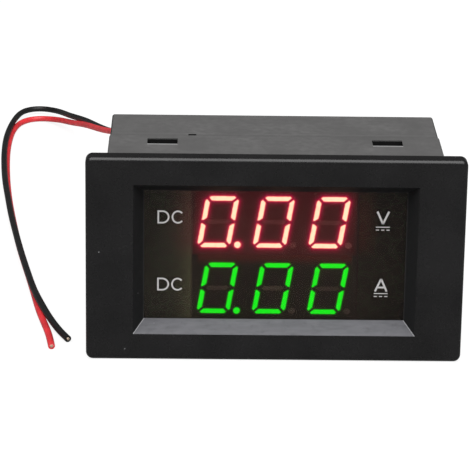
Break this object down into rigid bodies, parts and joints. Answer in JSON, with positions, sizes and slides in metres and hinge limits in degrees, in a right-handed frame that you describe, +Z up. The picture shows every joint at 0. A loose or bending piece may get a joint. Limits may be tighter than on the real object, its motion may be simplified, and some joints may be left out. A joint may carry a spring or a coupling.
{
  "type": "digital panel meter",
  "caption": "Panel meter with slanted seven-segment displays in two rows behind a smoked window, in a snap-together housing with two thin supply leads.",
  "frame": {"origin": "centre of the panel plane, the back face of the bezel", "axes": "+X to the right as the meter is read, +Y back through the panel, +Z up"},
  "size_m": [0.1069, 0.1847, 0.0446],
  "materials": {
    "black_plastic": "satin",
    "smoked_window": "polished",
    "display_grey": "satin",
    "red_resin": "lit",
    "green_resin": "lit",
    "dull_resin": "frosted",
    "tinned_metal": "plated",
    "board_green": "solder mask",
    "plated_screw": "zinc plated",
    "black_moulding": "matt",
    "gold_metal": "gold plated",
    "chip_black": "matt",
    "capacitor_can": "satin",
    "ceramic_tan": "matt",
    "shunt_alloy": "satin",
    "terminal_green": "satin",
    "trimmer_blue": "satin",
    "brass_rotor": "satin",
    "plug_white": "satin",
    "red_sheath": "satin",
    "black_sheath": "satin"
  },
  "bodies": {
    "meter": {"front_housing": "black_plastic", "rear_cover": "black_plastic", "window_filter": "smoked_window", "voltage_display_case": "display_grey", "current_display_case": "display_grey", "voltage_lit_segments": "red_resin", "voltage_unlit_segments": "dull_resin", "current_lit_segments": "green_resin", "current_unlit_segments": "dull_resin", "voltage_display_pins": "tinned_metal", "current_display_pins": "tinned_metal", "display_board": "board_green", "board_screws": "plated_screw", "board_sockets": "black_moulding", "board_headers": "black_moulding", "board_header_pins": "gold_metal", "main_board": "board_green", "microcontroller": "chip_black", "digit_transistors": "chip_black", "operational_amplifier": "chip_black", "voltage_regulator": "chip_black", "polarity_diode": "chip_black", "electrolytic_capacitor": "capacitor_can", "chip_resistors": "chip_black", "chip_capacitors": "ceramic_tan", "current_shunt": "shunt_alloy", "terminal_block": "terminal_green", "terminal_clamps": "tinned_metal", "terminal_screws": "plated_screw", "voltage_trimmer": "trimmer_blue", "current_trimmer": "trimmer_blue", "lead_header": "plug_white", "lead_header_pins": "tinned_metal", "lead_plug": "plug_white", "lead_contacts": "gold_metal", "red_lead": "red_sheath", "black_lead": "black_sheath"},
    "voltage_trim_rotor": {"voltage_trim_rotor": "brass_rotor"},
    "current_trim_rotor": {"current_trim_rotor": "brass_rotor"}
  },
  "joints": [
    {"name": "voltage_trim", "type": "hinge", "parent": "meter", "child": "voltage_trim_rotor", "pos_m": [0.012, 0, 0.008], "axis": [0, 1, 0], "range_deg": [-135, 135]},
    {"name": "current_trim", "type": "hinge", "parent": "meter", "child": "current_trim_rotor", "pos_m": [0.022, 0, 0.008], "axis": [0, 1, 0], "range_deg": [-135, 135]}
  ]
}
